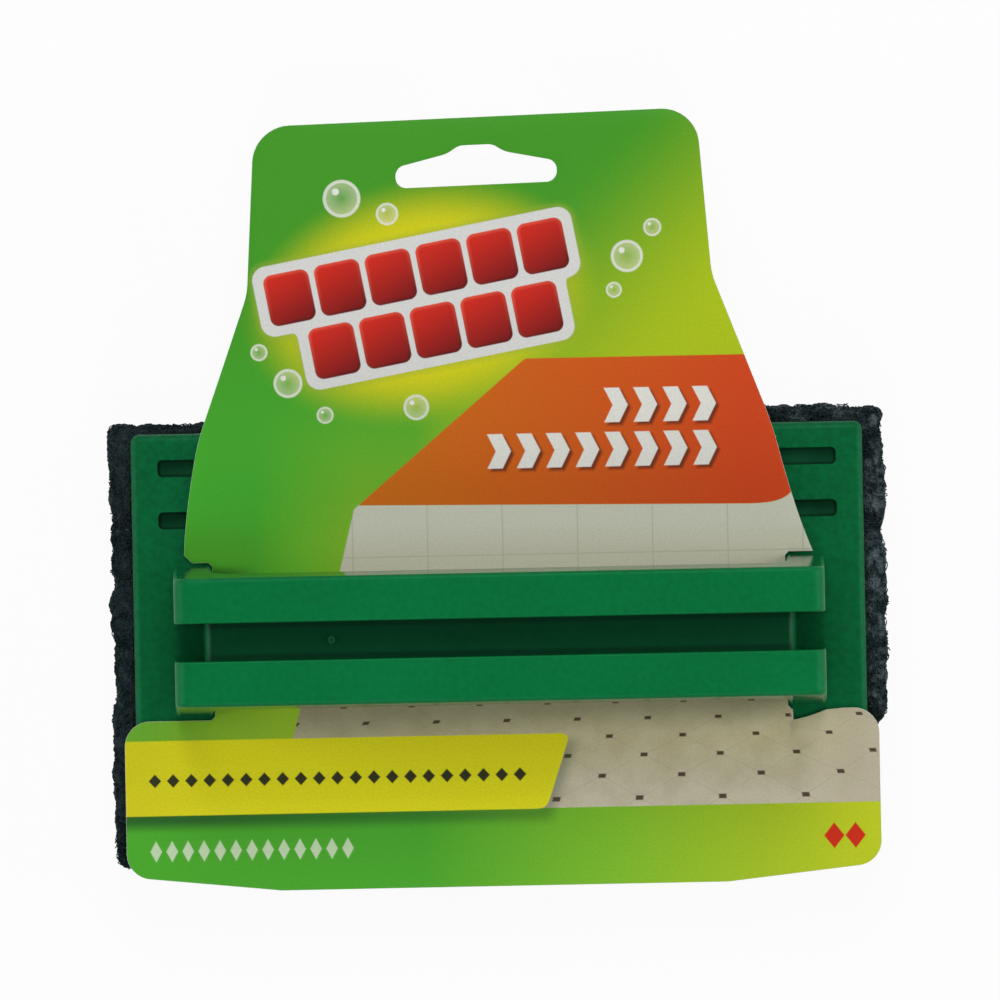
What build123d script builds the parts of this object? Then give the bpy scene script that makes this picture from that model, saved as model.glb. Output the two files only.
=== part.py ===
"""Hand-held floor scrubber on its retail hang card: a moulded handle plate bonded to a scouring pad.

Millimetres. The origin is on the pad's working face, straight below the middle of the handle. +Z goes up to
the handle, X runs along it, and +Y points to the card's hang tab.
"""
from build123d import *

import os
from math import radians, tan

# Scouring pad, a non-woven web cut square
pad_length = 152.4
pad_width = 88.9
pad_thickness = 12.0
pad_corner_radius = 2.0
pad_shift_y = -0.65

# Hot-melt adhesive film between the pad and the plate
adhesive_thickness = 0.3
adhesive_inset = 1.5

# Plate of the handle moulding
plate_margin_x = 4.0
plate_margin_y = 3.55
plate_thickness = 4.0
plate_corner_radius = 1.8
plate_edge_radius = 1.6

# Blind slots in the plate's upper face, a row of them along each long edge
slot_width = 3.4
slot_corner_radius = 1.0
slot_floor = 1.0
slot_end_margin = 5.25
slot_edge_margin = 6.8
slot_pitch = 10.3
slots_per_edge = 2

# Bridge handle, an open channel: two rails joined by a web, on a leg at each end
leg_margin_x = 8.0
leg_depth = 7.4
handle_height = 34.0
handle_top_width = 25.0
side_draft = 3.9
end_draft = 1.6
bridge_end_radius = 3.0
bridge_edge_radius = 1.0
groove_width = 7.4
groove_edge_radius = 0.4
web_thickness = 1.6
web_edge_radius = 0.8

# Finger gap under the bridge, and the window that its mould core leaves in the plate
finger_clearance = 21.8
finger_draft = 3.6
finger_corner_radius = 5.0
finger_edge_radius = 1.0
window_margin = 0.8

# Gate mark of the moulding, a low disc on the web
gate_mark_radius = 0.7
gate_mark_height = 0.4
gate_mark_offset_x = 32.9

# Hang card, a flat die-cut board threaded under the handle and notched round its legs
card_thickness = 0.45
card_lift = 0.3
card_neck_clearance = 0.3
card_play_up = 0.88
card_play_down = 0.53
card_notch_chamfer = 0.7

# Lower part of the card, wider than the plate
card_lower_width = 148.8
card_overhang = 4.4
card_bottom_flat = 88.0
card_bottom_rise = 3.2
card_lower_corner_radius = 5.0

# Upper part of the card: wings beside the legs, a flare up to the waist, and the hang tab
card_wing_width = 124.0
card_worn_corner = 1.6
card_flare_rise = 54.5
card_flare_straight = 29.8
card_flare_angle = 20.0
card_flare_radius = 60.0
card_waist_width = 91.7
card_waist_radius = 14.0
card_tab_height = 33.25
card_tab_top_width = 87.2
card_tab_corner_radius = 7.5

# Hang hole in the tab: a long slot that rises to a crown in the middle
hole_width = 31.75
hole_height = 7.95
hole_drop = 13.5
hole_end_height = 4.1
hole_end_radius = 2.1
hole_shoulder_width = 11.2
hole_shoulder_height = 6.4
hole_shoulder_radius = 6.0
hole_crown_width = 6.6
hole_crown_radius = 3.0

# Levels and half widths that follow from the sizes above
plate_length = pad_length - 2 * plate_margin_x
plate_width = pad_width - 2 * plate_margin_y
plate_bottom = pad_thickness + adhesive_thickness
plate_top = plate_bottom + plate_thickness
handle_top = plate_top + handle_height
beam_bottom = plate_top + finger_clearance
web_top = beam_bottom + web_thickness

leg_end = plate_length / 2 - leg_margin_x
leg_inner = leg_end - leg_depth
leg_half_width = handle_top_width / 2 + handle_height * tan(radians(side_draft))
beam_half_width = leg_half_width - finger_clearance * tan(radians(side_draft))
window_half_width = beam_half_width + window_margin

neck_half = leg_inner - card_neck_clearance
wing_half = card_wing_width / 2
waist_half = card_waist_width / 2
tab_half = card_tab_top_width / 2
lower_half = card_lower_width / 2
card_bottom = plate_top + card_lift
notch_y = leg_half_width + card_play_down
shoulder_y = -leg_half_width - card_play_up
low_edge_y = pad_shift_y - pad_width / 2 - card_overhang
low_corner_y = low_edge_y + card_bottom_rise
waist_y = notch_y + card_flare_rise
tab_top_y = waist_y + card_tab_height
flare_foot = (waist_half + card_flare_straight * tan(radians(card_flare_angle)), waist_y - card_flare_straight)

# How near an edge or a corner lies to where it is looked for
near = 0.1


def leaning(base_half, draft, bottom, top):
    """Corners of an upright profile, base_half wide each way at the plate's top, narrowing upwards by its draft."""
    slope = tan(radians(draft))
    bottom_half = base_half - (bottom - plate_top) * slope
    top_half = base_half - (top - plate_top) * slope
    return [(-bottom_half, bottom), (bottom_half, bottom), (top_half, top), (-top_half, top)]


def corner_pair(face, x, y):
    """The face's two corners at (x, y) and (-x, y)."""
    return face.vertices().filter_by(lambda corner: abs(abs(corner.X) - x) + abs(corner.Y - y) < near)


with BuildPart() as scouring_pad:
    with BuildSketch():
        with Locations((0, pad_shift_y)):
            RectangleRounded(pad_length, pad_width, pad_corner_radius)
    extrude(amount=pad_thickness)

with BuildPart() as adhesive_film:
    with BuildSketch(Plane.XY.offset(pad_thickness)):
        Rectangle(plate_length - 2 * adhesive_inset, plate_width - 2 * adhesive_inset)
        film_window_x = leg_inner + adhesive_inset
        film_window_y = window_half_width + adhesive_inset
        Rectangle(2 * film_window_x, 2 * film_window_y, mode=Mode.SUBTRACT)
    extrude(amount=adhesive_thickness)

# The bridge's outer block, drafted towards its top along the sides and at the ends
with BuildPart() as bridge:
    with BuildSketch(Plane.XZ) as end_profile:
        Polygon(*leaning(leg_end, end_draft, plate_top, handle_top), align=None)
        fillet(end_profile.vertices().group_by(Axis.Y)[-1], bridge_end_radius)
    extrude(amount=leg_half_width, both=True)
    with BuildSketch(Plane.YZ):
        Polygon(*leaning(leg_half_width, side_draft, plate_top, handle_top), align=None)
    extrude(amount=leg_end, both=True, mode=Mode.INTERSECT)
    base_edges = bridge.faces().sort_by(Axis.Z)[0].edges()
    for side_face in (bridge.faces().sort_by(Axis.Y)[0], bridge.faces().sort_by(Axis.Y)[-1]):
        fillet(side_face.edges() - base_edges, bridge_edge_radius)

with BuildPart() as handle_plate:
    with BuildSketch(Plane.XY.offset(plate_bottom)):
        RectangleRounded(plate_length, plate_width, plate_corner_radius)
    extrude(amount=plate_thickness)
    fillet(handle_plate.faces().sort_by(Axis.Z)[-1].edges(), plate_edge_radius)

    # Blind slots
    with BuildSketch(Plane.XY.offset(plate_top)):
        for side in (-1, 1):
            for number in range(slots_per_edge):
                slot_y = plate_width / 2 - slot_edge_margin - number * slot_pitch
                with Locations((0, side * slot_y)):
                    RectangleRounded(plate_length - 2 * slot_end_margin, slot_width, slot_corner_radius)
    extrude(amount=slot_floor - plate_thickness, mode=Mode.SUBTRACT)

    # Finger gap, rounded along its two rims
    add(bridge.part)
    with BuildSketch(Plane.XZ) as finger_profile:
        Polygon(*leaning(leg_inner, finger_draft, plate_top, beam_bottom), align=None)
        fillet(finger_profile.vertices().group_by(Axis.Y)[-1], finger_corner_radius)
    extrude(amount=leg_half_width, both=True, mode=Mode.SUBTRACT)
    finger_rims = handle_plate.edges().filter_by(
        lambda edge: abs(edge.center().X) < leg_inner + near
        and abs(edge.center().Y) > beam_half_width - near
        and plate_top + near < edge.center().Z < beam_bottom + near
    )
    fillet(finger_rims, finger_edge_radius)

    # Window in the plate
    with BuildSketch(Plane.XZ):
        Polygon(*leaning(leg_inner, finger_draft, plate_bottom, plate_top), align=None)
    extrude(amount=window_half_width, both=True, mode=Mode.SUBTRACT)

    # Groove between the rails, along the bridge and down the outer side of each leg
    with BuildSketch(Plane.XZ, mode=Mode.PRIVATE) as web_profile:
        Polygon(*leaning(leg_inner + web_thickness, finger_draft, plate_top, web_top), align=None)
        fillet(web_profile.vertices().group_by(Axis.Y)[-1], web_edge_radius)
    with BuildSketch(Plane.XZ):
        with Locations((0, plate_top)):
            Rectangle(2 * leg_end, handle_height, align=(Align.CENTER, Align.MIN))
        add(web_profile.sketch, mode=Mode.SUBTRACT)
    extrude(amount=groove_width / 2, both=True, mode=Mode.SUBTRACT)
    groove_rims = handle_plate.edges().filter_by(
        lambda edge: abs(abs(edge.center().Y) - groove_width / 2) < near
        and (abs(edge.center().X) > leg_end - leg_depth / 2 or edge.center().Z > handle_top - near)
    )
    fillet(groove_rims.filter_by(lambda edge: edge.center().Z > plate_top + near), groove_edge_radius)

    # Gate mark
    with BuildSketch(Plane.XY.offset(web_top)):
        with Locations((-gate_mark_offset_x, 0)):
            Circle(gate_mark_radius)
    extrude(amount=gate_mark_height)

with BuildPart() as hang_card:
    with BuildSketch(Plane.XY.offset(card_bottom)) as card_face:
        with BuildLine():
            Polyline(
                (card_bottom_flat / 2, low_edge_y),
                (lower_half, low_corner_y),
                (lower_half, shoulder_y),
                (neck_half, shoulder_y),
                (neck_half, notch_y),
                (wing_half, notch_y),
                flare_foot,
                (waist_half, waist_y),
                (tab_half, tab_top_y),
            )
            mirror(about=Plane.YZ)
            Line((-card_bottom_flat / 2, low_edge_y), (card_bottom_flat / 2, low_edge_y))
            Line((-tab_half, tab_top_y), (tab_half, tab_top_y))
        make_face()
        fillet(corner_pair(card_face, tab_half, tab_top_y), card_tab_corner_radius)
        fillet(corner_pair(card_face, waist_half, waist_y), card_waist_radius)
        fillet(corner_pair(card_face, *flare_foot), card_flare_radius)
        fillet(corner_pair(card_face, lower_half, shoulder_y), card_lower_corner_radius)
        fillet(corner_pair(card_face, lower_half, low_corner_y), card_lower_corner_radius)
        chamfer(corner_pair(card_face, wing_half, notch_y).sort_by(Axis.X)[0], card_worn_corner)
        chamfer(corner_pair(card_face, neck_half, notch_y), card_notch_chamfer)
        chamfer(corner_pair(card_face, neck_half, shoulder_y), card_notch_chamfer)
    extrude(amount=card_thickness)

    # Hang hole
    with BuildSketch(Plane.XY.offset(card_bottom)) as hang_hole:
        with BuildLine(Location((0, tab_top_y - hole_drop))):
            Polyline(
                (0, 0),
                (hole_width / 2, 0),
                (hole_width / 2, hole_end_height),
                (hole_shoulder_width / 2, hole_shoulder_height),
                (hole_crown_width / 2, hole_height),
                (0, hole_height),
            )
            mirror(about=Plane.YZ)
        make_face()
        hole_foot_y = tab_top_y - hole_drop
        for corner_x, corner_height, radius in (
            (hole_width / 2, 0, hole_end_radius),
            (hole_width / 2, hole_end_height, hole_end_radius),
            (hole_shoulder_width / 2, hole_shoulder_height, hole_shoulder_radius),
            (hole_crown_width / 2, hole_height, hole_crown_radius),
        ):
            fillet(corner_pair(hang_hole, corner_x, hole_foot_y + corner_height), radius)
    extrude(amount=card_thickness, mode=Mode.SUBTRACT)

nodes = {
    "scouring_pad": scouring_pad,
    "adhesive_film": adhesive_film,
    "handle_plate": handle_plate,
    "hang_card": hang_card,
}
os.makedirs("parts", exist_ok=True)
for name, node in nodes.items():
    node.part.label = name
    export_step(node.part, f"parts/{name}.step")
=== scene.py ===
"""Hand-held floor scrubber on its retail hang card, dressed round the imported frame.

Metres, in the frame's axes.
"""
import random
from math import cos, exp, hypot, pi, radians, sin, sqrt

import bmesh
import bpy
from mathutils import Matrix, Vector, noise


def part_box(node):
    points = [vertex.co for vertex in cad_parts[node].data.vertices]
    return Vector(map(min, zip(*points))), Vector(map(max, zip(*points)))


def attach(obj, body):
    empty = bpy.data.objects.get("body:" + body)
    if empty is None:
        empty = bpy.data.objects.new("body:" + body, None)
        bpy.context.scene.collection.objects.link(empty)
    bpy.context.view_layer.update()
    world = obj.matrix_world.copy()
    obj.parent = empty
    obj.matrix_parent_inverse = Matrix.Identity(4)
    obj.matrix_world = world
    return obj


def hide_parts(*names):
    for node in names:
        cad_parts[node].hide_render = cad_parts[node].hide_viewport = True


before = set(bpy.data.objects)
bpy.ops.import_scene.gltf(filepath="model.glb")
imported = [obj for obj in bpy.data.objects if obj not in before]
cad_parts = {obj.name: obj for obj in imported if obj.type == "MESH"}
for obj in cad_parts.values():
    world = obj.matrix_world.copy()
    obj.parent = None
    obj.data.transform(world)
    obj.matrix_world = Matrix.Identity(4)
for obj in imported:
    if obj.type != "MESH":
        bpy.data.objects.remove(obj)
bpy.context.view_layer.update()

scene = bpy.context.scene

# Camera. It looks straight down on the card, from far off and through a long lens, and is turned a touch
# about its axis.
card_low, card_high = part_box("hang_card")
camera_height = 2.2
camera_turn = radians(-1.15)
view_width = 0.1972
view_centre = Vector((0.00053, 0.0266, card_low.z))

camera_data = bpy.data.cameras.new("camera")
camera_data.sensor_width = 36.0
camera_data.lens = camera_data.sensor_width * camera_height / view_width
camera_data.clip_end = 10.0
camera = bpy.data.objects.new("camera", camera_data)
camera.location = view_centre + Vector((0.0, 0.0, camera_height))
camera.rotation_euler = (0.0, 0.0, camera_turn)
scene.collection.objects.link(camera)
scene.camera = camera

# Scouring pad. A lofty web of crimped nylon fibres, bonded with resin and grit in dark slate, cut square from
# a roll. Its cut sides are uneven and fuzzy, and its faces are a flat tangle of fibres.
pad_low, pad_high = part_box("scouring_pad")
plate_low, plate_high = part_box("handle_plate")
pad_size = pad_high - pad_low
pad_centre = (pad_high + pad_low) / 2
web_cell = 0.00075
web_corner = 0.0024
web_edge = 0.0012
web_seed = Vector((3.1, 7.7, 1.3))
web_sunk = 0.0001
swell_span, swell_height = 0.016, 0.00060
lump_span, lump_height = 0.0042, 0.00120
knot_span, knot_height = 0.0014, 0.00022
fibre_radius = 0.00011
card_gap = 0.0006

# Where the cuts wander off the square. Each wander sets in over a stretch of x and a stretch of y, and has
# its full depth where both end.
low_right_x, low_right_y, low_right_cut = (0.060, 0.074), (0.0160, 0.0205), 0.0028
low_left_x, low_left_y, low_left_bulge = (0.066, 0.074), (0.0120, 0.0200), 0.0004
far_left_x, far_left_y, far_left_cut = (0.060, -0.060), (0.036, 0.044), 0.0011


def new_piece(name, mesh, body, slot, *finishes):
    """A finished mesh as a piece of the object, riding on a body."""
    piece = bpy.data.objects.new(name, mesh)
    scene.collection.objects.link(piece)
    for finish in finishes:
        mesh.materials.append(finish)
    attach(piece, body)
    return piece


def web_loft(place):
    """How far the web stands proud at a place: broad swells, lumps, and the knots between fibres."""
    swell = noise.noise(place / swell_span + web_seed) * swell_height
    lump = noise.noise(place / lump_span + web_seed) * lump_height
    knot = noise.noise(place / knot_span - web_seed) * knot_height
    return swell + lump + knot


def under_plate(place):
    """Whether a place is covered by the plate, which presses the web flat."""
    return plate_low.x < place.x < plate_high.x and plate_low.y < place.y < plate_high.y


def straight_share(value, start, end):
    """0 before start and 1 past end, in a straight line between them."""
    return min(max((value - start) / (end - start), 0.0), 1.0)


def eased(value, start, end):
    """0 before start and 1 past end, eased at both."""
    share = straight_share(value, start, end)
    return share * share * (3 - 2 * share)


def kept_clear(place):
    """A place in the web, moved as the uneven cuts wander, and kept off the floor, plate and card."""
    ceiling = pad_high.z if under_plate(place) else card_low.z - card_gap
    low_right = eased(place.x, *low_right_x) * eased(-place.y, *low_right_y)
    low_left = eased(-place.x, *low_left_x) * eased(-place.y, *low_left_y)
    far_left = eased(place.y, *far_left_y) * straight_share(place.x, *far_left_x)
    x = place.x - low_right * low_right_cut - low_left * low_left_bulge
    y = place.y - far_left * far_left_cut
    return Vector((x, y, min(max(place.z, pad_low.z + fibre_radius), ceiling)))


def kept_in(place):
    """A place on a fibre, drawn back inside the ragged outline of the web, and kept clear."""
    core = Vector((
        min(max(place.x, pad_low.x + web_corner), pad_high.x - web_corner),
        min(max(place.y, pad_low.y + web_corner), pad_high.y - web_corner),
    ))
    away = place.xy - core
    reach = web_corner + web_loft(place) + web_sunk
    if away.length > reach:
        away *= reach / away.length
    return kept_clear(Vector((*(core + away), place.z)))


web = bmesh.new()
bmesh.ops.create_cube(web, size=1.0)
bmesh.ops.scale(web, vec=pad_size, verts=web.verts)
bmesh.ops.translate(web, vec=pad_centre, verts=web.verts)
for axis in range(3):
    along = [
        edge for edge in web.edges
        if abs(edge.verts[0].co[axis] - edge.verts[1].co[axis]) > pad_size[axis] * 0.9
    ]
    cuts = round(pad_size[axis] / web_cell) - 1
    bmesh.ops.subdivide_edges(web, edges=along, cuts=cuts, use_grid_fill=True)
for vert in web.verts:
    side = vert.co - pad_centre
    rim = max(abs(side.z) - pad_size.z / 2 + web_edge, 0.0)
    shrink = web_edge - sqrt(web_edge ** 2 - rim ** 2)
    inner_x = pad_size.x / 2 - web_corner
    inner_y = pad_size.y / 2 - web_corner
    core_x = min(max(side.x, -inner_x), inner_x)
    core_y = min(max(side.y, -inner_y), inner_y)
    reach = hypot(side.x - core_x, side.y - core_y)
    if reach > 0.0:
        straight = max(abs(side.x - core_x), abs(side.y - core_y))
        pull = straight * (1 - shrink / web_corner) / reach
        side.x = core_x + (side.x - core_x) * pull
        side.y = core_y + (side.y - core_y) * pull
    vert.co = pad_centre + side
web.normal_update()
lofted = [kept_clear(vert.co + vert.normal * (web_loft(vert.co) - web_sunk)) for vert in web.verts]
for vert, place in zip(web.verts, lofted):
    vert.co = place
for face in web.faces:
    face.smooth = True
web_mesh = bpy.data.meshes.new("scouring_web")
web.to_mesh(web_mesh)
web.free()


def paint(red, green, blue):
    """A colour from its display values, 0 to 255, with an alpha of 1."""
    shares = [value / 255 for value in (red, green, blue)]
    return (*(s / 12.92 if s <= 0.04045 else ((s + 0.055) / 1.055) ** 2.4 for s in shares), 1.0)


def new_finish(name, **constants):
    """A material with a principled shader, whose named sockets get constants, and its node tree."""
    material = bpy.data.materials.new(name)
    material.use_nodes = True
    shader = material.node_tree.nodes["Principled BSDF"]
    for socket, value in constants.items():
        shader.inputs[socket.replace("_", " ")].default_value = value
    return material, material.node_tree, shader


def node(tree, kind, feeds=(), out=0, **settings):
    """One output of a new node. feeds pairs its inputs, by name or number, with sockets or values."""
    made = tree.nodes.new("ShaderNode" + kind)
    for setting, value in settings.items():
        setattr(made, setting, value)
    for name, value in dict(feeds).items():
        if isinstance(value, bpy.types.NodeSocket):
            tree.links.new(value, made.inputs[name])
        else:
            made.inputs[name].default_value = value
    return made.outputs[out]


def reckoned(tree, operation, *values):
    """A sum on sockets or numbers."""
    return node(tree, "Math", enumerate(values), operation=operation)


def product(tree, *shares):
    """The product of shares."""
    made = shares[0]
    for share in shares[1:]:
        made = reckoned(tree, "MULTIPLY", made, share)
    return made


def spread(tree, vector):
    """The x, y and z of a vector."""
    split = tree.nodes.new("ShaderNodeSeparateXYZ")
    tree.links.new(vector, split.inputs[0])
    return split.outputs


def far_out(tree, x, y):
    """The length of an arrow x across and y up."""
    return reckoned(tree, "SQRT", reckoned(tree, "MULTIPLY_ADD", x, x, reckoned(tree, "MULTIPLY", y, y)))


def boxed(tree, x, y, half_x, half_y, corner):
    """How far a place is outside a rounded box about the middle of two axes."""
    past = []
    for value, half in ((x, half_x), (y, half_y)):
        outside = reckoned(tree, "ADD", reckoned(tree, "ABSOLUTE", value), corner - half)
        past.append(reckoned(tree, "MAXIMUM", outside, 0.0))
    return reckoned(tree, "SUBTRACT", far_out(tree, *past), corner)


def blend(tree, share, below, above):
    """Colour below, turning to colour above as share goes from 0 to 1."""
    feeds = {0: share, 6: below, 7: above}
    return node(tree, "Mix", feeds, out=2, data_type="RGBA", clamp_factor=True)


def ramp(tree, value, low, high, start=0.0, end=1.0):
    """Start to end as value goes from low to high, eased at both ends."""
    feeds = {0: value, 1: low, 2: high, 3: start, 4: end}
    return node(tree, "MapRange", feeds, interpolation_type="SMOOTHSTEP")


def grain(tree, place, size, detail=4.0, roughness=0.55, shift=0.0):
    """A noise from 0 to 1 with grains of a size in metres."""
    centred = node(tree, "Mapping", {0: place, 1: (shift, shift * 0.7, -shift)})
    feeds = {"Vector": centred, "Scale": 1.0 / size, "Detail": detail, "Roughness": roughness}
    return node(tree, "TexNoise", feeds)


def bump(tree, strength, depth, height, **under):
    """A relief of a depth in metres. under names the Normal that it lies on, if any."""
    return node(tree, "Bump", {"Strength": strength, "Distance": depth, "Height": height, **under})


def web_finish(name, shade, streak_share):
    """Resin-bonded slate web, pale fibres and grit, painted shade in hollows, painted light on rim tufts."""
    finish, tree, shader = new_finish(name, Roughness=0.62, Specular_IOR_Level=0.08)
    place = node(tree, "TexCoord", out=3)
    x, y, _ = spread(tree, place)
    dark_slate, pale_slate = (paint(*(shade * k for k in rgb)) for rgb in ((16, 31, 33), (26, 45, 49)))
    slate = blend(tree, ramp(tree, grain(tree, place, 0.009), 0.35, 0.68), dark_slate, pale_slate)
    # Dark hollows between the fibres: painted shade where the web is deep.
    hollow_painted_shade = ramp(tree, grain(tree, place, 0.0011, shift=0.3), 0.40, 0.70)
    woven = blend(tree, hollow_painted_shade, slate, paint(11, 18, 20))

    # Crossing fibres, bent by a noise
    wander = grain(tree, place, 0.0024, detail=2.0, shift=0.8)
    aside = node(tree, "VectorMath", {0: wander, "Scale": 0.0012}, operation="SCALE")
    bent = node(tree, "VectorMath", {0: place, 1: aside})
    cells = {"Vector": bent, "Scale": 900.0, "Randomness": 1.0}
    strands = ramp(tree, node(tree, "TexVoronoi", cells, feature="DISTANCE_TO_EDGE"), 0.02, 0.28, 1.0, 0.0)
    crossed = blend(tree, product(tree, strands, 0.18), woven, paint(62, 74, 76))
    streaks = ramp(tree, grain(tree, place, 0.0007, detail=2.0, shift=1.9), 0.60, 0.78)
    speckled = blend(tree, product(tree, streaks, streak_share), crossed, paint(100, 116, 124))

    # Pale tufts along the rim: painted light on its fibres, most of it on the right, which is lit more
    from_middle = reckoned(tree, "ABSOLUTE", reckoned(tree, "SUBTRACT", y, pad_centre.y))
    rim_x = ramp(tree, reckoned(tree, "ABSOLUTE", x), pad_high.x - 0.0056, pad_high.x - 0.0014)
    rim_y = ramp(tree, from_middle, pad_size.y / 2 - 0.0050, pad_size.y / 2 - 0.0012)
    rim = reckoned(tree, "MAXIMUM", rim_x, rim_y)
    right = ramp(tree, x, 0.040, 0.070, 0.16, 0.95)
    tufts = ramp(tree, grain(tree, place, 0.0021, detail=4.0, roughness=0.68, shift=4.2), 0.42, 0.74)
    rim_painted_light = blend(tree, product(tree, rim, right, tufts), speckled, paint(102, 115, 120))

    tree.links.new(rim_painted_light, shader.inputs["Base Color"])
    tree.links.new(ramp(tree, streaks, 0.0, 1.0, 0.78, 0.42), shader.inputs["Roughness"])
    relief = bump(tree, 0.9, 0.00035, reckoned(tree, "ADD", strands, streaks))
    tree.links.new(relief, shader.inputs["Normal"])
    return finish


core_finish = web_finish("scouring_web", 0.86, 0.45)
core = new_piece("scouring_web", web_mesh, "scrubber", "scouring_web", core_finish)
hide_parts("scouring_pad")

# Fibres of the web that stand out of it, as loops that leave the surface and go back in. They crowd the cut
# sides and the margin round the plate, and lie flatter on the working face.
start_sunk, end_sunk = 0.0004, 0.0007
strand_finish = web_finish("scouring_fibre", 1.10, 0.65)


def rim_place(share):
    """A place on the pad's outline and the way out of it, from a share of the way round."""
    half_x, half_y = pad_size.x / 2, pad_size.y / 2
    walked = share * 4 * (half_x + half_y)
    for start, way, out in (
        ((-half_x, -half_y), (1, 0), (0, -1)),
        ((half_x, -half_y), (0, 1), (1, 0)),
        ((half_x, half_y), (-1, 0), (0, 1)),
        ((-half_x, half_y), (0, -1), (-1, 0)),
    ):
        length = pad_size.x if way[0] else pad_size.y
        if walked <= length:
            break
        walked -= length
    spot = Vector((start[0] + way[0] * walked, start[1] + way[1] * walked, 0.0))
    corner = Vector((
        max(-half_x + web_corner, min(half_x - web_corner, spot.x)),
        max(-half_y + web_corner, min(half_y - web_corner, spot.y)),
        0.0,
    ))
    away = spot - corner
    if away.length > web_corner * 1.001:
        out = away.normalized()
        spot = corner + out * web_corner
    return spot + Vector((pad_centre.x, pad_centre.y, 0.0)), Vector((out[0], out[1], 0.0))


def fibre(splines, dice, root, out, reach, rise):
    """One crimped fibre that lies along the surface at root, and stands out of it by rise on its way."""
    across = out.orthogonal().normalized()
    way = Matrix.Rotation(dice.uniform(0, 2 * pi), 3, out) @ across
    bend = Matrix.Rotation(dice.uniform(-1.7, 1.7), 3, out) @ way
    start = root - way * reach * 0.5 - out * start_sunk
    middle = root - way * reach * 0.12 + out * rise
    turn = root + bend * reach * 0.22 + out * rise * dice.uniform(0.2, 1.0)
    end = turn + bend * reach * 0.3 - out * end_sunk
    spline = splines.new("NURBS")
    spline.points.add(3)
    spline.points.foreach_set("co", [n for p in (start, middle, turn, end) for n in (*kept_in(p), 1.0)])
    spline.order_u = 3
    spline.use_endpoint_u = True


def fibre_mat(name, count, seed, grow):
    """A mesh of count fibres, each grown by grow(dice), which gives its root, way out, reach and rise."""
    dice = random.Random(seed)
    curve = bpy.data.curves.new(name, "CURVE")
    curve.dimensions = "3D"
    curve.resolution_u = 2
    curve.bevel_depth = fibre_radius
    curve.bevel_resolution = 0
    for _ in range(count):
        fibre(curve.splines, dice, *grow(dice))
    holder = bpy.data.objects.new(name + "_curve", curve)
    mesh = bpy.data.meshes.new_from_object(holder)
    bpy.data.objects.remove(holder)
    mesh.name = name
    mesh.materials.clear()
    mesh.shade_smooth()
    return new_piece(name, mesh, "scrubber", "scouring_web", strand_finish)


def side_fibre(dice):
    """A fibre on the cut sides."""
    spot, out = rim_place(dice.random())
    spot.z = pad_low.z + 0.0004 + dice.random() ** 0.8 * (pad_size.z - 0.0005)
    spot += out * web_loft(spot)
    return spot, out, dice.uniform(0.0013, 0.0030), dice.uniform(0.0, 0.00016)


def margin_fibre(dice):
    """A fibre on the upper face, round the plate."""
    spot, out = rim_place(dice.random())
    spot += out * (web_loft(spot + Vector((0, 0, pad_high.z))) - dice.uniform(0.0002, 0.0046))
    spot.z = pad_high.z - 0.0002
    return spot, Vector((0.0, 0.0, 1.0)), dice.uniform(0.0016, 0.0038), dice.uniform(0.0, 0.0003)


def face_fibre(dice):
    """A fibre on the working face."""
    spot = Vector((
        dice.uniform(pad_low.x + 0.0008, pad_high.x - 0.0008),
        dice.uniform(pad_low.y + 0.0008, pad_high.y - 0.0008),
        pad_low.z + 0.0003,
    ))
    return spot, Vector((0.0, 0.0, -1.0)), dice.uniform(0.003, 0.007), 0.0003


fibre_mat("web_fibres_sides", 3600, 11, side_fibre)
fibre_mat("web_fibres_margin", 2400, 12, margin_fibre)
fibre_mat("web_fibres_face", 3600, 13, face_fibre)

# Adhesive. A film of hot melt, rolled out as swirls between the pad and the plate, cloudy and amber.
glue, tree, shader = new_finish("hot_melt", Roughness=0.3, Specular_IOR_Level=0.5)
place = node(tree, "TexCoord", out=3)
swirl = node(tree, "TexWave", {"Vector": place, "Scale": 60.0, "Distortion": 9.0, "Detail": 3.0})
tree.links.new(blend(tree, swirl, paint(170, 150, 96), paint(214, 200, 158)), shader.inputs["Base Color"])
tree.links.new(bump(tree, 0.5, 0.0002, grain(tree, place, 0.0018)), shader.inputs["Normal"])
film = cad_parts["adhesive_film"]
film.data.materials.clear()
film.data.materials.append(glue)

# Handle and plate. One injection moulding in green polypropylene, with a fine spark-eroded skin. The shape is
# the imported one: its loose triangles are merged, its flats are shaded flat, and the rounds run out of them.
flat_width = 0.0014
same_flat = cos(radians(0.5))
same_bend = cos(radians(50))
moulding = bmesh.new()
moulding.from_mesh(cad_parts["handle_plate"].data)
bmesh.ops.remove_doubles(moulding, verts=moulding.verts, dist=0.000002)
moulding.normal_update()
flat_way = {}
grouped = set()
for seed in moulding.faces:
    patch = []
    front = [] if seed in grouped else [seed]
    grouped.add(seed)
    while front:
        patch.append(front.pop())
        beside = [face for edge in patch[-1].edges for face in edge.link_faces]
        level = {face for face in beside if face.normal.dot(seed.normal) > same_flat} - grouped
        grouped |= level
        front += level
    if patch:
        corners = [vert.co for face in patch for vert in face.verts]
        low, high = (Vector([pick(co[axis] for co in corners) for axis in range(3)]) for pick in (min, max))
        if sum(face.calc_area() for face in patch) > flat_width * (high - low).length:
            flat_way.update((face, seed.normal.copy()) for face in patch)


def shading_way(face, vert):
    """The normal to shade a face's corner with: of its flat, of the flat it runs into, or of its round."""
    if face in flat_way:
        return flat_way[face]
    about = [other for other in vert.link_faces if other.normal.dot(face.normal) > same_bend]
    flats = [flat_way[other] for other in about if other in flat_way]
    if flats:
        return max(flats, key=face.normal.dot)
    return sum((other.normal * other.calc_area() for other in about), Vector()).normalized()


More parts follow.
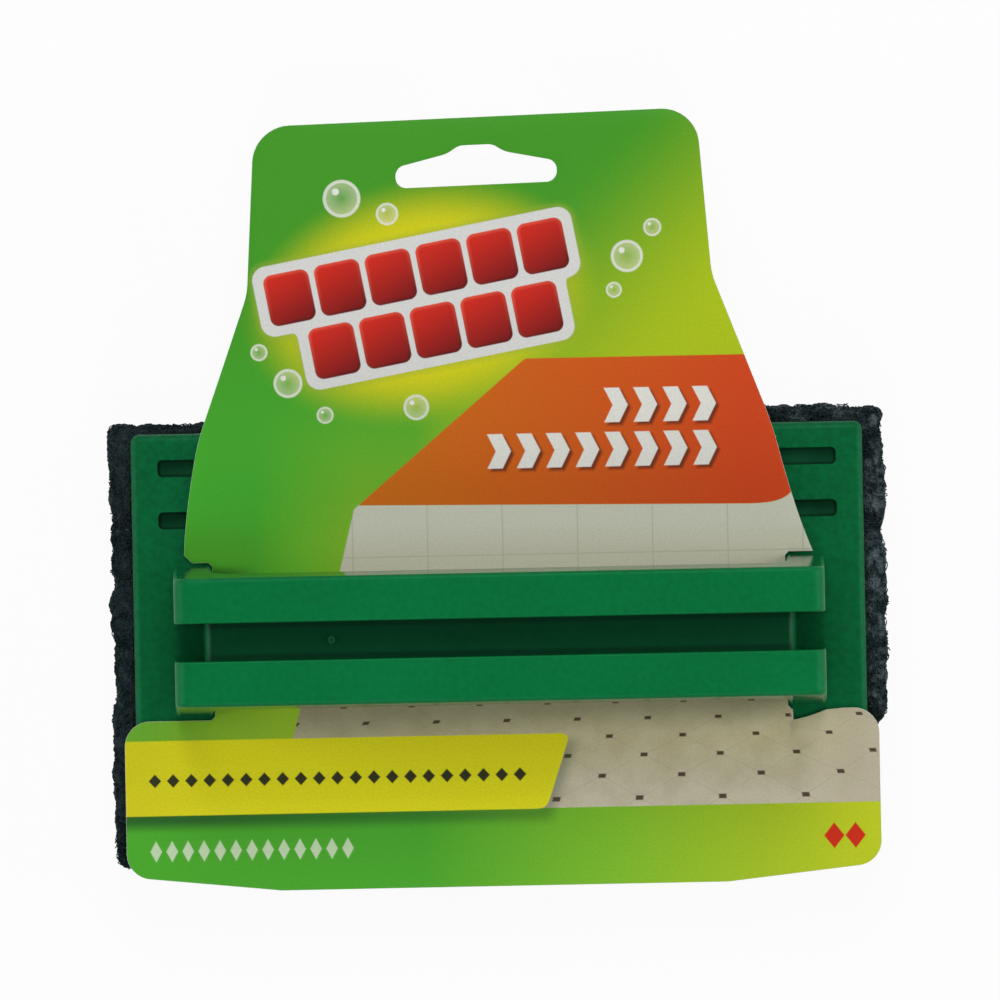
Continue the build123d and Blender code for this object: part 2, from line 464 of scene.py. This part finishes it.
ways = [shading_way(loop.face, loop.vert) for face in moulding.faces for loop in face.loops]
for face in moulding.faces:
    face.smooth = True
moulding_mesh = bpy.data.meshes.new("handle_moulding")
moulding.to_mesh(moulding_mesh)
moulding.free()
moulding_mesh.normals_split_custom_set(ways)

plastic, tree, shader = new_finish(
    "green_polypropylene", Specular_IOR_Level=0.19, Specular_Tint=(0.28, 1.0, 0.70, 1.0),
)
place = node(tree, "TexCoord", out=3)
x, y, height = spread(tree, place)
clouds = ramp(tree, grain(tree, place, 0.030, detail=3.0), 0.32, 0.70)
flecks = ramp(tree, grain(tree, place, 0.0012, detail=3.0, shift=0.6), 0.30, 0.72)
# The plate is painted darker than the raised rails: painted shade on the plate, painted light on the rails.
shaded_plate_green = blend(tree, clouds, paint(1, 75, 38), paint(2, 82, 42))
lit_rail_green = blend(tree, clouds, paint(1, 97, 46), paint(2, 104, 51))
height_painted_light = ramp(tree, height, plate_high.z - 0.030, plate_high.z - 0.001)
green = blend(tree, height_painted_light, shaded_plate_green, lit_rail_green)
green = blend(tree, product(tree, flecks, 0.3), green, paint(4, 120, 64))

# The floors of the blind slots are painted a duller green, and painted shade darkens them along their walls.
slot_end, slot_half_width, slot_corner = 0.06695, 0.0017, 0.0010
slot_row, slot_pitch = 0.0341, 0.0103
from_end = reckoned(tree, "ABSOLUTE", x)
from_middle = reckoned(tree, "ABSOLUTE", y)
in_slots = product(
    tree,
    ramp(tree, from_end, 0.0680, 0.0690, 1.0, 0.0),
    ramp(tree, from_middle, 0.0385, 0.0395, 1.0, 0.0),
    ramp(tree, height, plate_low.z + 0.0012, plate_low.z + 0.0022, 0.72, 0.0),
)
green = blend(tree, in_slots, green, paint(20, 78, 46))
# Painted shade darkens the slot floors along their walls.
from_row = reckoned(tree, "PINGPONG", reckoned(tree, "SUBTRACT", slot_row, from_middle), slot_pitch / 2)
past_wall = boxed(tree, from_end, from_row, slot_end, slot_half_width, slot_corner)
slot_wall_painted_shade = product(tree, in_slots, ramp(tree, past_wall, -0.0008, -0.0002))
green = blend(tree, slot_wall_painted_shade, green, paint(1, 16, 7))

# Painted shade darkens the web between the rails, and a painted shadow line runs along its walls. This
# line is not held to the groove: it runs round the rails' outer sides too, at the web's height.
web_top = plate_high.z - 0.0106
on_web = ramp(tree, height, web_top - 0.0012, web_top - 0.0009)
shut_in = product(tree, on_web, ramp(tree, height, web_top - 0.0010, web_top + 0.0036, 1.0, 0.0))
groove_painted_shade = product(tree, shut_in, ramp(tree, from_middle, 0.0032, 0.0040, 0.72, 0.0))
green = blend(tree, groove_painted_shade, green, paint(9, 64, 37))
groove_wall_painted_shadow = product(tree, shut_in, ramp(tree, from_middle, 0.0021, 0.0030, 0.0, 0.7))
green = blend(tree, groove_wall_painted_shadow, green, paint(1, 18, 8))

# A pale ring is painted round the gate mark on the web: a painted highlight on the mark's rim.
gate_x, gate_ring = -0.0329, 0.0005
from_gate = node(tree, "VectorMath", {0: place, 1: (gate_x, 0.0, 0.0)}, operation="SUBTRACT")
on_plan = node(tree, "VectorMath", {0: from_gate, 1: (1.0, 1.0, 0.0)}, operation="MULTIPLY")
gate_far = node(tree, "VectorMath", {0: on_plan}, out=1, operation="LENGTH")
off_ring = reckoned(tree, "ABSOLUTE", reckoned(tree, "SUBTRACT", gate_far, gate_ring))
gate_painted_highlight = product(tree, ramp(tree, off_ring, 0.0, 0.0004, 1.0, 0.0), on_web, 0.5)
tree.links.new(blend(tree, gate_painted_highlight, green, paint(70, 160, 112)), shader.inputs["Base Color"])

# The long walls, which the mould draws along, are smoother than the sparked tops and ends.
drawn_gloss = 0.30
facing_x, _, facing_z = spread(tree, node(tree, "TexCoord", out=1))
sparked = reckoned(tree, "MAXIMUM", *(reckoned(tree, "ABSOLUTE", way) for way in (facing_x, facing_z)))
spark_gloss = ramp(tree, grain(tree, place, 0.004, shift=2.1), 0.3, 0.7, 0.42, 0.50)
skin_gloss = product(tree, spark_gloss, ramp(tree, sparked, 0.06, 0.55, drawn_gloss, 1.0))
tree.links.new(skin_gloss, shader.inputs["Roughness"])
spark_strength = ramp(tree, sparked, 0.10, 0.55, 0.03, 0.22)
skin = bump(tree, spark_strength, 0.00003, grain(tree, place, 0.00022, detail=2.0, shift=1.2))
waves = grain(tree, place, 0.006, detail=1.0, shift=0.9)
tree.links.new(bump(tree, 0.2, 0.0001, waves, Normal=skin), shader.inputs["Normal"])
handle = new_piece("handle_moulding", moulding_mesh, "scrubber", "handle_plastic", plastic)
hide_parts("handle_plate")

# Hang card. Coated paperboard, printed on its face and plain on its back, and die cut, so that it shows a
# white edge. It is threaded under the handle. Its upper part leans to one side, its free ends curl, and the
# corner of its lower right notch is torn.
sheet_cell = 0.0035
card_thickness = card_high.z - card_low.z
notch_top = 0.01535
drift, drift_span, lean = 0.00235, 0.012, 0.007
slope, slope_span, foreshortening = 0.0253, 0.045, 0.0108
tab_foot, tab_span, tab_rise = 0.045, 0.057, 0.0016
foot_top, foot_span, foot_rise = -0.030, 0.0195, 0.0005
corner_reach, corner_rise = 0.0744, 0.0006
tear_x, tear_low = 0.05745, -0.0192
flap_foot, flap_top, flap_reach, flap_drop, flap_rise = -0.0225, -0.0157, 0.0085, 0.0022, 0.0004
nearly = 0.000001

card = bmesh.new()
card.from_mesh(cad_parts["hang_card"].data)
bmesh.ops.remove_doubles(card, verts=card.verts, dist=0.000002)
card.normal_update()
unseen = [face for face in card.faces if face.normal.z < 0.9]
bmesh.ops.delete(card, geom=unseen, context="FACES")
bmesh.ops.dissolve_limit(card, angle_limit=radians(0.4), verts=card.verts, edges=card.edges)


def cut_across(place, way):
    """Cuts the card along the line through place whose normal is way."""
    whole = card.verts[:] + card.edges[:] + card.faces[:]
    bmesh.ops.bisect_plane(card, geom=whole, dist=0.0000001, plane_co=place, plane_no=way)


def on_tear(vert):
    """Whether a corner of the sheet lies on the line of the tear."""
    return abs(vert.co.x - tear_x) < nearly and tear_low - nearly < vert.co.y < 0.0


for axis in range(2):
    way = Vector((1.0 - axis, float(axis), 0.0))
    steps = round((card_high[axis] - card_low[axis]) / sheet_cell)
    for step in range(1, steps):
        walked = (card_high[axis] - card_low[axis]) * step / steps
        cut_across(way * (card_low[axis] + walked), way)
cut_across(Vector((tear_x, 0.0, 0.0)), Vector((1.0, 0.0, 0.0)))
cut_across(Vector((0.0, tear_low, 0.0)), Vector((0.0, 1.0, 0.0)))
torn = [edge for edge in card.edges if all(on_tear(vert) for vert in edge.verts)]
bmesh.ops.split_edges(card, edges=torn)
print_place = card.verts.layers.float_vector.new("print_place")
for vert in card.verts:
    x, y = vert.co.x, vert.co.y
    above = max(y - notch_top, 0.0)
    x -= drift * (1 - exp(-above / drift_span)) + lean * above
    y += slope * vert.co.x * eased(above, 0.0, slope_span) - foreshortening * above
    vert[print_place] = (x, y, 0.0)
    middles = [face.calc_center_median().x for face in vert.link_faces]
    right_of_tear = sum(middles) > tear_x * len(middles)
    beside = 1 - eased(x, tear_x, tear_x + flap_reach) if right_of_tear and y < 0.0 else 0.0
    bent = beside * eased(y, flap_foot, flap_top)
    tab_curl = max(y - tab_foot, 0.0) / tab_span
    foot_curl = max(foot_top - y, 0.0) / foot_span
    rise = tab_rise * tab_curl ** 2 + foot_rise * foot_curl ** 2 + flap_rise * bent
    rise += corner_rise * (abs(x) / corner_reach) ** 4 * min(foot_curl * 2, 1.0)
    vert.co = (x, y - flap_drop * bent, vert.co.z + rise)
for face in card.faces:
    face.smooth = True
card_mesh = bpy.data.meshes.new("hang_card_sheet")
card.to_mesh(card_mesh)
card.free()

# The print is reckoned in millimetres across and up the sheet. Its long level lines run at these heights, and
# the wall's top is behind the band.
band_top, wall_top, foot_line = 54.4, 29.0, -34.3
face_ink, tree, shader = new_finish("printed_face", Specular_IOR_Level=0.15)
flat = node(tree, "Attribute", attribute_name="print_place", out=1)
millimetres = node(tree, "VectorMath", {0: flat, 1: (1000.0, 1000.0, 1000.0)}, operation="MULTIPLY")
across, up, _ = spread(tree, millimetres)


def reckon(operation, *values):
    """A sum of the print, on sockets or numbers."""
    return reckoned(tree, operation, *values)


def times(*shares):
    """The product of shares of the print."""
    return product(tree, *shares)


def beyond(line_x, line_y, way_x, way_y):
    """Millimetres past the line through a place on the card, on the side that way points to."""
    length = hypot(way_x, way_y)
    along_x = reckon("MULTIPLY_ADD", across, way_x / length, -line_x * way_x / length)
    return reckon("MULTIPLY_ADD", up, way_y / length, reckon("ADD", along_x, -line_y * way_y / length))


def over(line_y):
    """Millimetres over a level line."""
    return reckon("SUBTRACT", up, line_y)


def under(line_y):
    """Millimetres under a level line."""
    return reckon("SUBTRACT", line_y, up)


def all_of(*distances, round_by=1.4):
    """Millimetres outside the shape that is inside every one of these lines, with rounded corners."""
    furthest = distances[0]
    for distance in distances[1:]:
        furthest = reckon("SMOOTH_MAX", furthest, distance, round_by)
    return furthest


def off(value, middle):
    """How far a value is from a middle, on either side."""
    return reckon("ABSOLUTE", reckon("SUBTRACT", value, middle))


def inked(distance, blur=0.12):
    """1 inside a shape and 0 outside it, blurred over blur millimetres either way."""
    return ramp(tree, distance, -blur, blur, 1.0, 0.0)


def steady(value, low, high, start=0.0, end=1.0):
    """Start to end in a straight line as value goes from low to high, and level beyond."""
    return node(tree, "MapRange", {0: value, 1: low, 2: high, 3: start, 4: end})


# Ground of the print: green, turning yellow-green towards the lower right and below the handle.
warm_right = ramp(tree, beyond(13.7, 91.1, 0.697, -0.717), 1.0, 43.0, 0.0, 0.95)
warm_left = times(steady(across, -47.8, -28.0, 0.0, 0.44), steady(up, 49.3, 18.7))
warm = reckon("MAXIMUM", times(warm_right, ramp(tree, across, -24.0, -8.0)), warm_left)
# The green is painted lighter towards the handle: painted light that offsets the handle's shadow.
green = blend(tree, steady(up, 62.0, 30.0), paint(65, 150, 35), paint(71, 177, 47))
# Painted shade on the green above the handle at the left.
low_left = times(ramp(tree, up, 27.0, 16.5), steady(across, -37.0, -50.0))
green = blend(tree, low_left, green, paint(75, 161, 38))
# Painted shadow of the rail on the card, just above the handle at the left.
rail_painted_shadow = times(ramp(tree, up, 15.4, 12.4), ramp(tree, up, 0.0, 6.0), ramp(tree, across, -46.0, -55.0))
green = blend(tree, rail_painted_shadow, green, paint(34, 92, 24))
ground = blend(tree, warm, green, paint(176, 196, 24))
# Printed lime strip below the handle, painted lighter to the right: painted light against the handle's
# shadow.
lime = blend(tree, steady(across, -71.0, -43.0), paint(106, 172, 46), paint(166, 210, 50))
ground = blend(tree, ramp(tree, up, -7.0, -11.0), ground, lime)

# Soft yellow glow behind the emblem, which is two rows of red tiles, laid half a tile apart in pale joints.
emblem_x, emblem_y, emblem_turn = -14.0, 66.0, radians(10.4)
glow_half_x, glow_half_y = 37.0, 25.0
tile_pitch, tile_half_x, tile_half_y, tile_corner = 10.2, 4.55, 5.1, 1.7
row_rise, low_row_shift = 6.0, 1.5
panel_margin_x, panel_margin_y, panel_corner = 1.5, 1.9, 2.8
tilt_x = beyond(emblem_x, emblem_y, cos(emblem_turn), sin(emblem_turn))
tilt_y = beyond(emblem_x, emblem_y, -sin(emblem_turn), cos(emblem_turn))
glow_reach = far_out(tree, reckon("DIVIDE", tilt_x, glow_half_x), reckon("DIVIDE", tilt_y, glow_half_y))
glow = ramp(tree, glow_reach, 0.55, 1.0, 0.95, 0.0)
ground = blend(tree, glow, ground, paint(214, 209, 24))

# Band across the right side in orange, with a slanted end, a foot that is not quite level, a round lower
# corner and two rows of pale chevrons with shadows.
band_foot, band_tilt, band_right, band_round = 25.65, 0.0146, 59.7, 12.0
chevron_pitch, chevron_half_width, chevron_half_height = 2.9, 1.5, 3.4
band_end = beyond(-11.0, 40.0, -0.646, 0.763)
band = all_of(over(band_top), beyond(0, band_foot, -band_tilt, -1), band_end, round_by=0.6)
band = all_of(band, beyond(band_right, 0, 1, 0), round_by=band_round)
band_colour = blend(tree, steady(across, -22.0, 50.0), paint(205, 108, 18), paint(208, 70, 26))
ground = blend(tree, inked(band), ground, band_colour)


def chevrons(first, count, height, shift):
    """Millimetres outside a row of chevrons that points right, from its first place across."""
    side = over(height - shift)
    bent = reckon("MULTIPLY_ADD", reckon("ABSOLUTE", side), 0.5, reckon("SUBTRACT", across, first + shift))
    stroke = reckon("SUBTRACT", reckon("PINGPONG", bent, chevron_pitch), chevron_half_width)
    ends = reckon("SUBTRACT", off(bent, chevron_pitch * (count - 1)), chevron_pitch * count)
    tall = reckon("SUBTRACT", reckon("ABSOLUTE", side), chevron_half_height)
    return reckon("MAXIMUM", reckon("MAXIMUM", stroke, ends), tall)


for shift, blur, ink in ((0.6, 0.45, paint(118, 46, 16)), (0.0, 0.12, paint(230, 229, 221))):
    both = reckon("MINIMUM", chevrons(24.6, 4, 44.9, shift), chevrons(1.4, 8, 36.2, shift))
    ground = blend(tree, inked(both, blur), ground, ink)

high_row = reckon("SUBTRACT", tilt_y, row_rise)
low_row = reckon("ADD", tilt_y, row_rise)
low_tilt_x = reckon("SUBTRACT", tilt_x, low_row_shift)
tile_rows = (tilt_x, high_row, 3.0, 0.0), (low_tilt_x, low_row, 2.5, 0.5)
panel_half_y = tile_half_y + panel_margin_y
panel_high, panel_low = (
    boxed(tree, row_x, row_y, tile_pitch * half_count + panel_margin_x, panel_half_y, panel_corner)
    for row_x, row_y, half_count, _ in tile_rows
)
panel = reckon("SMOOTH_MIN", panel_high, panel_low, 2.0)
ground = blend(tree, ramp(tree, panel, -0.2, 1.6, 0.5, 0.0), ground, paint(150, 172, 60))
ground = blend(tree, inked(panel), ground, paint(216, 216, 213))
for row_x, row_y, half_count, offset in tile_rows:
    cell = reckon("FRACT", reckon("ADD", reckon("DIVIDE", row_x, tile_pitch), 40.0 + offset))
    tile_x = times(reckon("SUBTRACT", cell, 0.5), tile_pitch)
    tile = boxed(tree, tile_x, row_y, tile_half_x, tile_half_y, tile_corner)
    in_row = reckon("SUBTRACT", reckon("ABSOLUTE", row_x), half_count * tile_pitch)
    tone = steady(reckon("MULTIPLY_ADD", tile_x, -0.35, row_y), -5.0, 5.0)
    tile_colour = blend(tree, tone, paint(122, 17, 18), paint(206, 40, 28))
    edge_colour = blend(tree, tone, paint(78, 10, 12), paint(226, 84, 62))
    edge_share = steady(reckon("ADD", tile, 0.8), 0.0, 0.5, 0.0, 0.75)
    tile_colour = blend(tree, edge_share, tile_colour, edge_colour)
    ground = blend(tree, inked(reckon("MAXIMUM", tile, in_row)), ground, tile_colour)

# Bubbles about the emblem, each a pale ring with a highlight.
for bubble_x, bubble_y, radius in (
    (-29.5, 86.6, 3.4), (-20.6, 83.4, 2.0), (26.5, 74.2, 2.9), (31.6, 79.8, 1.6), (23.8, 67.6, 1.4),
    (-40.8, 50.4, 2.6), (-46.4, 56.6, 1.5), (-15.6, 45.2, 2.3), (-33.6, 44.0, 1.5),
):
    from_x, from_y = reckon("SUBTRACT", across, bubble_x), reckon("SUBTRACT", up, bubble_y)
    far = far_out(tree, from_x, from_y)
    outside = reckon("SUBTRACT", far, radius)
    film_share = times(steady(far, 0.0, radius, 0.10, 0.5), inked(outside))
    ground = blend(tree, film_share, ground, paint(222, 226, 190))
    ring = reckon("SUBTRACT", reckon("ABSOLUTE", outside), 0.07 * radius + 0.08)
    ground = blend(tree, times(inked(ring), 0.85), ground, paint(226, 228, 214))
    glint_x, glint_y = reckon("ADD", from_x, radius * 0.35), reckon("ADD", from_y, -radius * 0.4)
    glint = boxed(tree, glint_x, glint_y, radius * 0.2, radius * 0.2, radius * 0.19)
    ground = blend(tree, times(inked(glint), 0.9), ground, paint(236, 236, 228))

# Wall between the band and the handle in plain pale tiles, with fine joints.
wall_half_tile_x, wall_half_tile_y = 7.4, 9.0
wall = all_of(over(wall_top), beyond(-30.0, 18.5, -1.0, 0.25), under(-2.0), round_by=0.4)
wall = all_of(wall, band_end, reckon("MULTIPLY", band, -1.0), round_by=0.4)
# The wall is painted darker towards the handle: painted shade beside it.
wall_colour = blend(tree, ramp(tree, up, 14.5, 23.0), paint(202, 201, 178), paint(209, 210, 192))
joint_x = reckon("PINGPONG", reckon("ADD", across, 206.3), wall_half_tile_x)
joint_y = reckon("PINGPONG", reckon("ADD", up, 2.2), wall_half_tile_y)
joint = reckon("SUBTRACT", reckon("MINIMUM", joint_x, joint_y), 0.1)
wall_colour = blend(tree, times(inked(joint, 0.14), 0.35), wall_colour, paint(132, 130, 108))
ground = blend(tree, inked(wall), ground, wall_colour)

# Floor below the handle: pale tiles seen from low down, with a small dark insert where the joints cross.
floor_print = all_of(under(foot_line), beyond(-40.4, -16.5, -1.0, 0.28), over(8.0), round_by=0.4)
depth = reckon("SUBTRACT", -13.6, up)
rows = reckon("SUBTRACT", reckon("DIVIDE", depth, 3.2), times(depth, depth, 0.0026))
column_width = times(reckon("MULTIPLY_ADD", depth, 0.0119, 1.0), 6.685)
columns = reckon("ADD", reckon("DIVIDE", reckon("SUBTRACT", across, 39.5), column_width), 0.54)
mottle = ramp(tree, grain(tree, flat, 0.006, detail=3.0), 0.35, 0.7)
further = steady(up, -32.0, -21.5)
pale_tile = blend(tree, further, paint(214, 206, 181), paint(221, 212, 172))
dull_tile = blend(tree, further, paint(203, 194, 167), paint(211, 201, 158))
floor_colour = blend(tree, mottle, pale_tile, dull_tile)
floor_colour = blend(tree, ramp(tree, across, 54.0, 76.0), floor_colour, paint(189, 180, 156))
# Painted shadow of the handle on the floor print, darkest by the rail and fading to the right.
shade_low = steady(across, -30.0, 20.0, -25.0, -20.5)
handle_painted_shadow = times(ramp(tree, up, shade_low, -13.5, 0.0, 0.56), ramp(tree, across, 52.0, 60.0, 1.0, 0.2))
floor_colour = blend(tree, handle_painted_shadow, floor_colour, paint(92, 98, 66))
slants = (reckon("ADD", reckon(slant, columns, rows), 60.0) for slant in ("ADD", "SUBTRACT"))
from_joint = reckon("MINIMUM", *(reckon("PINGPONG", slant, 1.0) for slant in slants))
joint_share = ramp(tree, from_joint, 0.01, 0.045, 0.13, 0.0)
floor_colour = blend(tree, joint_share, floor_colour, paint(120, 118, 104))


def from_crossing(count):
    """How far along a row or column a place is from the nearest crossing, in pairs of tiles."""
    return off(reckon("FRACT", reckon("MULTIPLY_ADD", count, 0.5, 60.5)), 0.5)


def insert_at(x, y):
    """1 on the dark inserts of one set of rows."""
    return times(ramp(tree, x, 0.036, 0.056, 1.0, 0.0), ramp(tree, y, 0.034, 0.064, 1.0, 0.0))


insert_x, insert_y = from_crossing(columns), from_crossing(rows)
other_set = insert_at(off(insert_x, 0.5), off(insert_y, 0.5))
inserts = reckon("MAXIMUM", insert_at(insert_x, insert_y), other_set)
floor_colour = blend(tree, times(inserts, 0.94), floor_colour, paint(66, 42, 24))
ground = blend(tree, inked(floor_print), ground, floor_colour)

# Pale torn fibres along the left side of the tear.
ragged = reckon("MULTIPLY_ADD", grain(tree, flat, 0.0005, detail=2.0), 0.9, -0.62)
torn_x = reckon("ADD", off(across, tear_x * 1000 - 0.25), ragged)
torn_edge = all_of(torn_x, under(tear_low * 1000 - 0.2), over(-12.0), round_by=0.2)
ground = blend(tree, times(inked(torn_edge, 0.25), 0.85), ground, paint(206, 198, 178))

# Strip along the foot of the card, green on the left and yellow-green on the right, with a row of pale
# lozenges and a pair of red ones.
foot_colour = blend(tree, steady(across, -16.0, 22.0), paint(76, 170, 44), paint(130, 193, 45))
foot_colour = blend(tree, steady(across, 22.0, 68.0), foot_colour, paint(190, 205, 34))
ground = blend(tree, inked(over(foot_line)), ground, foot_colour)


def lozenges(first, last, height, pitch, half_x, half_y):
    """Millimetres outside a row of lozenges, the first and last of them centred at those places across."""
    beside = reckon("PINGPONG", reckon("ADD", across, pitch * 60 - first), pitch / 2)
    shares = reckon("ADD", reckon("DIVIDE", beside, half_x), reckon("DIVIDE", off(up, height), half_y))
    slant = hypot(half_x, half_y) / (half_x * half_y)
    rhomb = reckon("DIVIDE", reckon("SUBTRACT", shares, 1.0), slant)
    span = reckon("SUBTRACT", off(across, (first + last) / 2), (last - first + pitch) / 2)
    return reckon("MAXIMUM", rhomb, span)


pale_row = lozenges(-68.6, -30.8, -41.4, 3.15, 1.15, 2.1)
ground = blend(tree, times(inked(pale_row), 0.9), ground, paint(206, 226, 188))
ground = blend(tree, inked(lozenges(65.1, 69.3, -40.8, 4.2, 2.0, 2.55)), ground, paint(206, 44, 20))

# Yellow bar from the left edge, with a slanted round end, a soft shadow below and a row of dark lozenges.
bar_end = beyond(11.0, -27.0, 1.0, -0.33)
bar = all_of(over(-19.6), under(-34.4), bar_end, round_by=2.6)
shadow = all_of(over(-21.2), under(-36.4), reckon("SUBTRACT", bar_end, 1.4), round_by=2.6)
shade = times(ramp(tree, shadow, -1.2, 1.8, 0.80, 0.0), steady(across, -60.0, 4.0, 1.0, 0.55))
ground = blend(tree, shade, ground, paint(16, 62, 30))
bar_colour = blend(tree, ramp(tree, across, -78.0, -52.0), paint(208, 202, 28), paint(250, 243, 32))
# The bar is painted duller towards its foot, so its top, by the handle, is painted light against the handle's
# shadow.
bar_colour = blend(tree, steady(up, -25.5, -31.0, 0.0, 0.32), bar_colour, paint(220, 213, 28))
ground = blend(tree, inked(bar), ground, bar_colour)
ground = blend(tree, inked(lozenges(-68.6, 3.4, -27.5, 3.6, 1.25, 1.35)), ground, paint(44, 44, 20))

press_grain = ramp(tree, grain(tree, flat, 0.00042, detail=2.0), 0.28, 0.74)
printed = blend(tree, times(press_grain, 0.10), ground, paint(24, 40, 10))
coat_gloss = ramp(tree, grain(tree, flat, 0.011, shift=0.5), 0.3, 0.7, 0.40, 0.52)
tree.links.new(printed, shader.inputs["Base Color"])
tree.links.new(coat_gloss, shader.inputs["Roughness"])
tree.links.new(bump(tree, 0.12, 0.00004, grain(tree, flat, 0.0009)), shader.inputs["Normal"])


def board_finish(name, pale, dull):
    """Bare paperboard with short fibres and flecks."""
    material, board_tree, board_shader = new_finish(name, Roughness=0.85, Specular_IOR_Level=0.25)
    spot = node(board_tree, "TexCoord", out=3)
    mottle = ramp(board_tree, grain(board_tree, spot, 0.004), 0.3, 0.7)
    sheet_colour = blend(board_tree, mottle, paint(*pale), paint(*dull))
    fleck = ramp(board_tree, grain(board_tree, spot, 0.0005, detail=1.0), 0.68, 0.78, 0.0, 0.6)
    fibrous = blend(board_tree, fleck, sheet_colour, paint(*(k * 0.72 for k in dull)))
    tooth = bump(board_tree, 0.3, 0.00006, grain(board_tree, spot, 0.0004))
    board_tree.links.new(fibrous, board_shader.inputs["Base Color"])
    board_tree.links.new(tooth, board_shader.inputs["Normal"])
    return material


back_board = board_finish("plain_back", (196, 192, 182), (178, 173, 162))
cut_edge = board_finish("cut_edge", (240, 240, 235), (226, 226, 218))
hang_card = new_piece("hang_card_sheet", card_mesh, "card", "printed_board", face_ink, back_board, cut_edge)
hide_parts("hang_card")
thick = hang_card.modifiers.new("board", "SOLIDIFY")
thick.thickness = card_thickness
thick.offset = -1.0
thick.material_offset = 1
thick.material_offset_rim = 2
worn_edge = hang_card.modifiers.new("cut_edge", "BEVEL")
worn_edge.width = 0.0002
worn_edge.segments = 2
worn_edge.limit_method = "ANGLE"
worn_edge.angle_limit = radians(50)
worn_edge.material = 2

# Floor, lamps and world. A pale floor keeps the object's soft shadow, and shows near white to the camera.
floor_shape = bmesh.new()
bmesh.ops.create_grid(floor_shape, x_segments=1, y_segments=1, size=4.0)
bmesh.ops.translate(floor_shape, vec=(0.0, 0.0, pad_low.z - 0.00005), verts=floor_shape.verts)
floor_mesh = bpy.data.meshes.new("floor")
floor_shape.to_mesh(floor_mesh)
floor_shape.free()
floor = bpy.data.objects.new("floor", floor_mesh)
scene.collection.objects.link(floor)


def seen_share(tree):
    """1 on what is seen, straight or in a gloss or a clear piece, and 0 on what only gives light."""
    rays = tree.nodes.new("ShaderNodeLightPath").outputs
    mirrored = reckoned(tree, "MAXIMUM", rays["Is Glossy Ray"], rays["Is Transmission Ray"])
    return reckoned(tree, "MAXIMUM", rays["Is Camera Ray"], mirrored)


floor_finish, tree, shader = new_finish("pale_floor", Roughness=0.9, Specular_IOR_Level=0.0)
place = node(tree, "TexCoord", out=3)
floor_grey = blend(tree, grain(tree, place, 0.2), paint(226, 226, 226), paint(230, 230, 230))
tree.links.new(floor_grey, shader.inputs["Base Color"])
bright = node(tree, "Emission", {"Color": (1.0, 1.0, 1.0, 1.0), "Strength": 1.0})
from_object = node(tree, "VectorMath", {0: place}, out=1, operation="LENGTH")
bright_share = product(tree, seen_share(tree), ramp(tree, from_object, 0.12, 0.7, 0.94, 1.0))
mixed = node(tree, "MixShader", {0: bright_share, 1: shader.outputs[0], 2: bright})
tree.links.new(mixed, tree.nodes["Material Output"].inputs["Surface"])
floor_mesh.materials.append(floor_finish)


def softbox(name, place, size, power):
    """A square soft lamp at a place, aimed at the object."""
    lamp = bpy.data.lights.new(name, "AREA")
    lamp.shape = "SQUARE"
    lamp.size = size
    lamp.energy = power
    holder = bpy.data.objects.new(name, lamp)
    holder.location = place
    aim = Vector((0.0, 0.02, 0.01)) - Vector(place)
    holder.rotation_euler = aim.to_track_quat("-Z", "Y").to_euler()
    scene.collection.objects.link(holder)


softbox("far_softbox", (0.0, 0.74, 0.90), 0.7, 6.5)
softbox("near_softbox", (0.0, -0.80, 0.90), 0.7, 4.95)
softbox("left_softbox", (-0.95, 0.1, 0.45), 0.5, 3.4)
softbox("right_softbox", (0.95, 0.1, 0.45), 0.5, 4.4)

world = bpy.data.worlds.new("studio")
scene.world = world
world.use_nodes = True
sky = world.node_tree.nodes["Background"]
sky.inputs["Color"].default_value = (1.0, 1.0, 1.0, 1.0)
dim_light = 0.09
strength = node(world.node_tree, "MapRange", {0: seen_share(world.node_tree), 3: dim_light, 4: 1.0})
world.node_tree.links.new(strength, sky.inputs["Strength"])
scene.view_settings.view_transform = "Standard"
